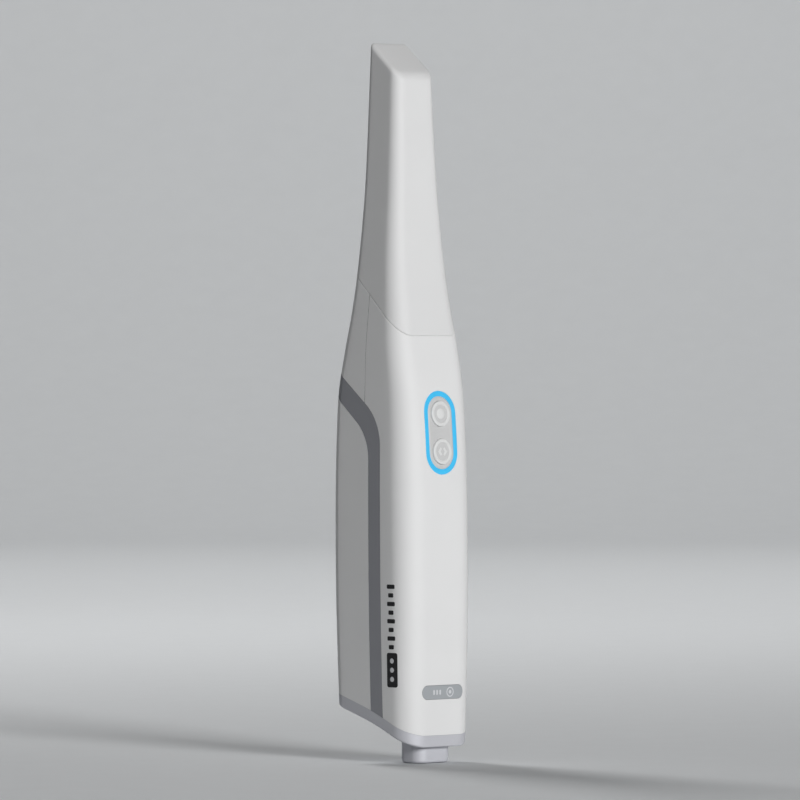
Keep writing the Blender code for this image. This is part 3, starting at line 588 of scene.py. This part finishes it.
def make_joint_shade_strips():
    """A dark strip in the upright joint between the front shell and the upper rear shell: painted shade that
    stands for the shadow inside the joint.
    """
    low = edge_height(trim_edge(TRIM_OUTER_EDGE), SEAM_Y)
    high = parting(SEAM_Y) - TIP_SEAM
    rows = round((high - low) / ROW_STEP)
    half = 0.45 * SEAM
    for name, side in (("left", -1), ("right", 1)):
        rings = []
        for row in range(rows + 1):
            z = low + (high - low) * row / rows
            outside = profile_at(z)[0] / 2 - JOINT_SHADE_DEPTH
            inside = outside - SHELL_WALL / 2
            corners = ((outside, -half), (outside, half), (inside, half), (inside, -half))
            rings.append([Vector((side * x, SEAM_Y + y, z)) for x, y in corners])
        # painted shade: a black strip that darkens the joint as its shadow would
        finish_piece(solid(f"joint_shade_strip_{name}", rings), HANDPIECE, "seal_rubber", BLACK_RUBBER_AND_JOINT_SHADE)


# ---------------------------------------------------------------- bottom cap and cable socket
def make_cap():
    """The bottom cap: a shallow dish that follows the sloped base, rounded round its foot."""
    rim = raised(base, CAP_HEIGHT)
    rings = rings_between(raised(base, CAP_FLOOR), rim, SHELL_WALL, 2)
    rings += rings_between(rim, raised(base, CAP_ROUND + 0.1 * MM), 0.0, 3)
    rings += rounding(base, -1, CAP_ROUND)
    cap = capped("base_cap", rings)
    low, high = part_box("cable_socket")
    hole = rounded_rectangle(high.x - low.x + 2 * SEAM, high.y - low.y + 2 * SEAM, SOCKET_CORNER + SEAM)
    upright_cut(cap, hole, (low + high) / 2, INSIDE)
    for side in ("left", "right"):
        low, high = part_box(f"cap_screw_{side}")
        for radius, top in ((HEAD_HOLE_RADIUS, low.z + HEAD_HOLE_DEPTH), (SCREW_HOLE_RADIUS, INSIDE)):
            upright_cut(cap, circle(radius, 32), (low + high) / 2, top)
    finish_piece(cap, HANDPIECE, "cap_plastic", CAP, "bottom_cap")


def upright_cut(target, outline, middle, top):
    """Cuts an outline in X and Y out of the target from below, up to a height."""
    rings = [[Vector((x + middle.x, y + middle.y, z)) for x, y in outline] for z in (BELOW, top)]
    apply_boolean(target, solid("upright_tool", rings))


def make_socket():
    """The block that the cable plugs into, with its mouth facing down."""
    low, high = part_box("cable_socket")
    middle_y = (low.y + high.y) / 2
    wall = 1.7 * MM
    foot = 1.0 * MM
    edge = 0.2 * MM

    def outline(inset, z):
        width = high.x - low.x - 2 * inset
        depth = high.y - low.y - 2 * inset
        points = rounded_rectangle(width, depth, SOCKET_CORNER - inset)
        return [Vector((x, y + middle_y, z)) for x, y in points]

    rings = [outline(0.0, high.z)]
    for k in range(EDGE_STEPS + 1):
        turn = QUARTER * k / EDGE_STEPS
        rings.append(outline(foot * (1 - math.cos(turn)), low.z + foot * (1 - math.sin(turn))))
    rings.append(outline(wall - edge, low.z))
    rings.append(outline(wall, low.z + edge))
    rings.append(outline(wall, high.z))
    block = hollow_ring("socket_block", rings)
    finish_piece(block, HANDPIECE, "cap_plastic", CAP, "cable_socket")


# ---------------------------------------------------------------- key panel
def on_panel(x, depth, height):
    """A point of the panel, by its place on the face and its depth below the skin."""
    z = PANEL_Z + height * UP_PANEL.z
    return Vector((x, front_of_skin(z), z)) + PRESS * depth


def panel_solid(name, outlines):
    """A body through outlines on the panel: each is (points, depth, height of its middle)."""
    return solid(name, [[on_panel(x, depth, z + middle) for x, z in points]
                        for points, depth, middle in outlines])


def panel_tool(points, middle=0.0):
    return panel_solid("panel_tool", [(points, OUT_OF_SKIN, middle), (points, UNDER_WALL, middle)])


def cut_front_openings(shell):
    apply_boolean(shell, panel_tool(stadium(RING_WIDTH + SEAM, RING_LENGTH + SEAM)))
    bed = 0.9 * MM
    apply_boolean(shell, label_body("label_tool", SEAM / 2, OUT_OF_SKIN, bed))


def panel_ring(name, outline, bands, middle=0.0):
    """A ring on the panel; outline gives points for an inset, and bands is (inset, depth) round it."""
    return hollow_ring(name, [[on_panel(x, depth, z + middle) for x, z in outline(inset)]
                              for inset, depth in bands])


def make_ring():
    """The blue light guide round the keys, a little proud of the skin."""
    edge = 0.25 * MM
    third = edge * 0.3
    proud = -0.12 * MM
    bands = ((0.0, RING_DEPTH), (0.0, proud + edge), (third, proud + third), (edge, proud),
             (RING_BAND - edge, proud), (RING_BAND - third, proud + third), (RING_BAND, proud + edge),
             (RING_BAND, RING_DEPTH))
    ring = panel_ring("glow_ring", lambda inset: stadium(RING_WIDTH - 2 * inset, RING_LENGTH - 2 * inset),
                      bands)
    finish_piece(ring, HANDPIECE, "light_ring", BLUE, "light_ring")


def make_plate():
    """The grey plate between the ring and the keys: bulged, with a soft hollow round each key."""
    width = RING_WIDTH - 2 * RING_BAND - PLATE_CLEARANCE
    length = RING_LENGTH - 2 * RING_BAND - PLATE_CLEARANCE
    # distance in from the plate's edge, depth below the skin
    bulge = ((0.0, RING_DEPTH), (0.0, 0.1 * MM), (0.1 * MM, 0.0), (0.4 * MM, -0.12 * MM),
             (1.0 * MM, -BULGE * 0.75), (1.8 * MM, -BULGE * 0.95), (2.6 * MM, -BULGE))
    plate = panel_solid("key_plate", [(stadium(width - 2 * inset, length - 2 * inset), depth, 0.0)
                                      for inset, depth in bulge])
    # distance out from a key's edge, depth below the middle of the plate
    hollow = ((KEY_CLEARANCE, UNDER_WALL), (KEY_CLEARANCE, 0.34 * MM), (0.3 * MM, 0.3 * MM),
              (0.8 * MM, 0.16 * MM), (1.3 * MM, 0.04 * MM), (1.8 * MM, -0.05 * MM))
    for middle in (KEY_SPACING / 2, -KEY_SPACING / 2):
        tool = panel_solid("hollow_tool", [(circle(KEY_RADIUS + reach), depth - BULGE, middle)
                                           for reach, depth in hollow])
        apply_boolean(plate, tool)
    finish_piece(plate, HANDPIECE, "plate_plastic", PLATE, "button_plate")


def make_key(name, body, middle, node):
    """A round key: a cap with a lighter raised rim."""
    # radius, depth below the skin
    steps = ((KEY_RADIUS - 0.05 * MM, RING_DEPTH), (KEY_RADIUS - 0.05 * MM, 0.1 * MM),
             (KEY_RADIUS - 0.2 * MM, KEY_FACE), (RIM_INNER, KEY_FACE), (0.5 * MM, KEY_FACE - 0.05 * MM))
    cap = panel_solid(f"{name}_cap", [(circle(radius), depth, middle) for radius, depth in steps])
    finish_piece(cap, body, "button_plastic", KEY, node)
    outer = KEY_RADIUS - 0.04 * MM
    band = outer - RIM_INNER
    rise = KEY_FACE - RIM_TOP
    foot = 0.3 * MM
    bands = [(0.0, foot)]
    for k in range(RIM_STEPS + 1):
        turn = math.pi * k / RIM_STEPS
        bands.append((band * (1 - math.cos(turn)) / 2, KEY_FACE - rise * math.sin(turn) ** 0.7))
    bands.append((band, foot))
    rim = panel_ring(f"{name}_rim", lambda inset: circle(outer - inset), bands, middle)
    finish_piece(rim, body, "button_plastic", RIM)


def make_keys():
    """Both keys, with a dot on the upper one and two arrow heads on the lower one."""
    middle = KEY_SPACING / 2
    make_key("upper_key", "upper_key", middle, "upper_button")
    make_key("lower_key", "lower_key", -middle, "lower_button")
    foot = 0.3 * MM
    # radius, depth below the key's face
    steps = ((1.9 * MM, foot), (1.9 * MM, 0.0), (1.6 * MM, -0.12 * MM), (1.0 * MM, -0.18 * MM),
             (0.3 * MM, -0.2 * MM))
    dot = panel_solid("key_dot", [(circle(radius), KEY_FACE + depth, middle) for radius, depth in steps])
    finish_piece(dot, "upper_key", "button_plastic", RIM)
    for name, side in (("left", -1), ("right", 1)):
        points = chevron(side)
        arrow = panel_solid(f"key_arrow_{name}", [(points, KEY_FACE + foot, -middle),
                                                  (points, KEY_FACE - 0.12 * MM, -middle)])
        finish_piece(arrow, "lower_key", "button_plastic", RIM)


def chevron(side):
    """The outline of an arrow head that points away from the middle of its key."""
    tip, root, height, stroke = 2.2 * MM, 0.9 * MM, 1.5 * MM, 0.95 * MM
    points = [(tip, 0), (root, height), (root - 0.6 * stroke, height - 0.6 * stroke),
              (tip - 1.25 * stroke, 0), (root - 0.6 * stroke, -height + 0.6 * stroke), (root, -height)]
    return [(side * x, z) for x, z in points]


# ---------------------------------------------------------------- label and print
def on_front(along, z, inset):
    """A point of the front face, by its distance along the skin from the middle line."""
    width, depth, middle, radius = profile_at(z)[:4]
    flat = width / 2 - radius
    turn = max(abs(along) - flat, 0) / radius
    x = min(abs(along), flat) + (radius - inset) * math.sin(turn)
    y = middle - depth / 2 + radius - (radius - inset) * math.cos(turn)
    return Vector((math.copysign(x, along), y, z))


def on_left(along, z, inset):
    """A point of the left side, by its distance along the skin in front of the corner's start."""
    width, depth, middle, radius = profile_at(z)[:4]
    turn = max(along, 0) / radius
    start = middle - depth / 2 + radius
    x = -width / 2 + radius - (radius - inset) * math.cos(turn)
    y = start - min(along, 0) - (radius - inset) * math.sin(turn)
    return Vector((x, y, z))


def patch(name, place, middle, size, radius, outside, inside):
    """A thin body on the skin with a rounded outline: middle and size are along the skin and up."""
    (along, z), (width, height) = middle, size
    start = 0.2  # a column at 0 would have no height when the end is a half circle
    end = []
    for k in range(PATCH_END_STEPS + 1):
        turn = QUARTER * (k + start) / (PATCH_END_STEPS + start)
        end.append((radius * (1 - math.cos(turn)) - width / 2, height / 2 - radius * (1 - math.sin(turn))))
    flat = width / 2 - radius
    between = [(flat * (k / PATCH_HALF_STEPS - 1), height / 2) for k in range(1, 2 * PATCH_HALF_STEPS)]
    columns = end + between + [(-shift, half) for shift, half in end[::-1]]
    rings = []
    for shift, half in columns:
        rings.append([place(along + shift, z - half, outside), place(along + shift, z + half, outside),
                      place(along + shift, z + half, inside), place(along + shift, z - half, inside)])
    return solid(name, rings)


def round_patch(name, place, middle, radius, outside, inside):
    return patch(name, place, middle, (2 * radius, 2 * radius), radius, outside, inside)


def label_body(name, grow, outside, inside):
    """The label's shape, made larger by grow on every side."""
    low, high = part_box("label_inlay")
    size = (high.x - low.x + 2 * grow, high.z - low.z + 2 * grow)
    return patch(name, on_front, (0.0, (low.z + high.z) / 2), size, size[1] / 2, outside, inside)


def make_label():
    """The grey pill near the base, with a plain mark: three bars and a ring with a dot."""
    proud = -0.03 * MM
    depth = 0.6 * MM
    label = label_body("front_label", 0.0, proud, depth)
    finish_piece(label, HANDPIECE, "label_plastic", LABEL, "label_inlay")
    low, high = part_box("label_inlay")
    z = (low.z + high.z) / 2
    outside = -0.06 * MM
    inside = 0.1 * MM
    bar_size = (0.8 * MM, 1.7 * MM)
    for i in range(3):
        place = ((i * 1.5 - 4.3) * MM, z)
        bar = patch(f"label_bar_{i + 1}", on_front, place, bar_size, 0.3 * MM, outside, inside)
        finish_piece(bar, HANDPIECE, "label_plastic", LIGHT_PRINT)
    middle = 3.6 * MM
    outer = 1.75 * MM
    inner = 1.35 * MM
    rings = [[on_front(middle + x, z + up, inset) for x, up in circle(radius, 40)]
             for radius, inset in ((outer, inside), (outer, outside), (inner, outside), (inner, inside))]
    finish_piece(hollow_ring("label_ring", rings), HANDPIECE, "label_plastic", LIGHT_PRINT)
    dot = round_patch("label_dot", on_front, (middle, z), 0.65 * MM, outside, inside)
    finish_piece(dot, HANDPIECE, "label_plastic", LIGHT_PRINT)


def make_side_print():
    """A plain dark print on the left side: a row of bars above a block with three light dots."""
    outside = -0.02 * MM
    inside = 0.2 * MM
    for i in range(8):
        place = (-0.1 * MM, (61.6 - 3.0 * i) * MM)
        width = (3.6 if i % 2 == 0 else 2.4) * MM
        bar = patch(f"side_bar_{i + 1}", on_left, place, (width, 1.5 * MM), 0.4 * MM, outside, inside)
        finish_piece(bar, HANDPIECE, "white_plastic", DARK_PRINT)
    along = 0.1 * MM
    block_size = (4.8 * MM, 12 * MM)
    block = patch("side_block", on_left, (along, 32.6 * MM), block_size, 0.8 * MM, outside, inside)
    finish_piece(block, HANDPIECE, "white_plastic", DARK_PRINT)
    for i in range(3):
        place = (along, (35.8 - 3.2 * i) * MM)
        dot = round_patch(f"side_dot_{i + 1}", on_left, place, 0.9 * MM, 2 * outside, 0.0)
        finish_piece(dot, HANDPIECE, "white_plastic", LIGHT_PRINT)


# ---------------------------------------------------------------- carried CAD pieces
FINISHES = {
    "white_plastic": WHITE, "tip_plastic": TIP_WHITE, "trim_plastic": TRIM, "cap_plastic": CAP,
    "plate_plastic": PLATE, "button_plastic": KEY, "label_plastic": LABEL, "light_ring": BLUE,
    "nose_plastic": BLACK, "seal_rubber": BLACK_RUBBER_AND_JOINT_SHADE, "lens_glass": GLASS, "mirror": MIRROR, "steel": STEEL,
    "gold_contact": GOLD, "aluminium": ALUMINIUM, "board_green": BOARD, "amber_film": AMBER,
    "thermal_pad": PAD, "ivory_plastic": IVORY,
}


def paint_carried_nodes():
    """Gives every CAD piece the finish of its material slot."""
    for row in frame["record"]["subparts"]:
        node = frame["nodes"][row["node"]]
        node.data.materials.clear()
        node.data.materials.append(FINISHES[row["material_slot"]])


# ---------------------------------------------------------------- stage
CAMERA_AZIMUTH = math.radians(-45)
CAMERA_DISTANCE = 2.62
CAMERA_HEIGHT = PARTING_FRONT[1]  # level with the tip joint
AIM_HEIGHT = 126.3 * MM
AIM_SIDE = -1.6 * MM
CAMERA_LENS = 337

FLOOR_DROP = 0.2 * MM  # the floor lies this far below the part
WALL_DISTANCE = 4.0
WALL_HEIGHT = 4.0
FLOOR_NEAR = -4.0
FLOOR_HALF_WIDTH = 6.0
SWEEP_RADIUS = 1.2
SWEEP_STEPS = 16
FLOOR_PAINT = (0.75, 0.765, 0.775)
WORLD_COLOUR = (0.95, 0.97, 1.0, 1)
WORLD_STRENGTH = 0.01

# name, azimuth in degrees, distance, height, size, power, spread in degrees, then the place it
# points at: distance on the same azimuth, and height
LIGHTS = (
    ("key", -14, 3.0, 0.90, 0.9, 73, 180, 0.0, 0.13),
    ("floor", 165, 2.2, 2.0, 0.8, 3.5, 60, 0.1, 0.0),
    ("wall", 135, 1.4, 2.0, 1.6, 36, 180, 3.4, 0.6),
)


def make_camera():
    back = Vector((math.sin(CAMERA_AZIMUTH), -math.cos(CAMERA_AZIMUTH), 0))
    side = Vector((math.cos(CAMERA_AZIMUTH), math.sin(CAMERA_AZIMUTH), 0))
    aim = side * AIM_SIDE + Vector((0, 0, AIM_HEIGHT))
    data = bpy.data.cameras.new("camera")
    data.lens = CAMERA_LENS
    data.clip_end = 20
    camera = bpy.data.objects.new("camera", data)
    camera.location = side * AIM_SIDE + back * CAMERA_DISTANCE + Vector((0, 0, CAMERA_HEIGHT))
    camera.rotation_euler = (aim - camera.location).to_track_quat("-Z", "Y").to_euler()
    bpy.context.scene.collection.objects.link(camera)
    bpy.context.scene.camera = camera


def make_light(name, azimuth, distance, height, size, power, spread, aim_distance, aim_height):
    data = bpy.data.lights.new(name, "AREA")
    data.size = size
    data.energy = power
    data.spread = math.radians(spread)
    lamp = bpy.data.objects.new(name, data)
    turn = math.radians(azimuth)
    away = Vector((math.sin(turn), -math.cos(turn), 0))
    lamp.location = away * distance + Vector((0, 0, height))
    aim = away * aim_distance + Vector((0, 0, aim_height))
    lamp.rotation_euler = (aim - lamp.location).to_track_quat("-Z", "Y").to_euler()
    bpy.context.scene.collection.objects.link(lamp)


def make_stage():
    """A pale floor that sweeps up into a wall behind the part, seen from the camera."""
    away = Vector((-math.sin(CAMERA_AZIMUTH), math.cos(CAMERA_AZIMUTH), 0))
    across = Vector((away.y, -away.x, 0))
    bend = WALL_DISTANCE - SWEEP_RADIUS
    line = [(FLOOR_NEAR, 0.0)]
    for k in range(SWEEP_STEPS + 1):
        turn = QUARTER * k / SWEEP_STEPS
        line.append((bend + SWEEP_RADIUS * math.sin(turn), SWEEP_RADIUS * (1 - math.cos(turn))))
    line.append((WALL_DISTANCE, WALL_HEIGHT))
    shape = bmesh.new()
    rows = [[shape.verts.new(away * along + across * side + Vector((0, 0, z - FLOOR_DROP)))
             for side in (-FLOOR_HALF_WIDTH, FLOOR_HALF_WIDTH)] for along, z in line]
    for low, high in zip(rows, rows[1:]):
        shape.faces.new((low[0], low[1], high[1], high[0]))
    floor = make_object("studio_floor", shape)
    floor.data.materials.append(plastic("floor_paint", FLOOR_PAINT, 0.8, grain_mm=2, bump=0.0))
    for light in LIGHTS:
        make_light(*light)
    world = bpy.data.worlds.new("studio")
    world.use_nodes = True
    background = world.node_tree.nodes["Background"]
    background.inputs["Color"].default_value = WORLD_COLOUR
    background.inputs["Strength"].default_value = WORLD_STRENGTH
    bpy.context.scene.world = world
    bpy.context.scene.view_settings.view_transform = "Standard"


make_camera()
paint_carried_nodes()
make_tip()
make_nose()
make_shells()
make_joint_shade_strips()
make_cap()
make_socket()
make_ring()
make_plate()
make_keys()
make_label()
make_side_print()
make_stage()
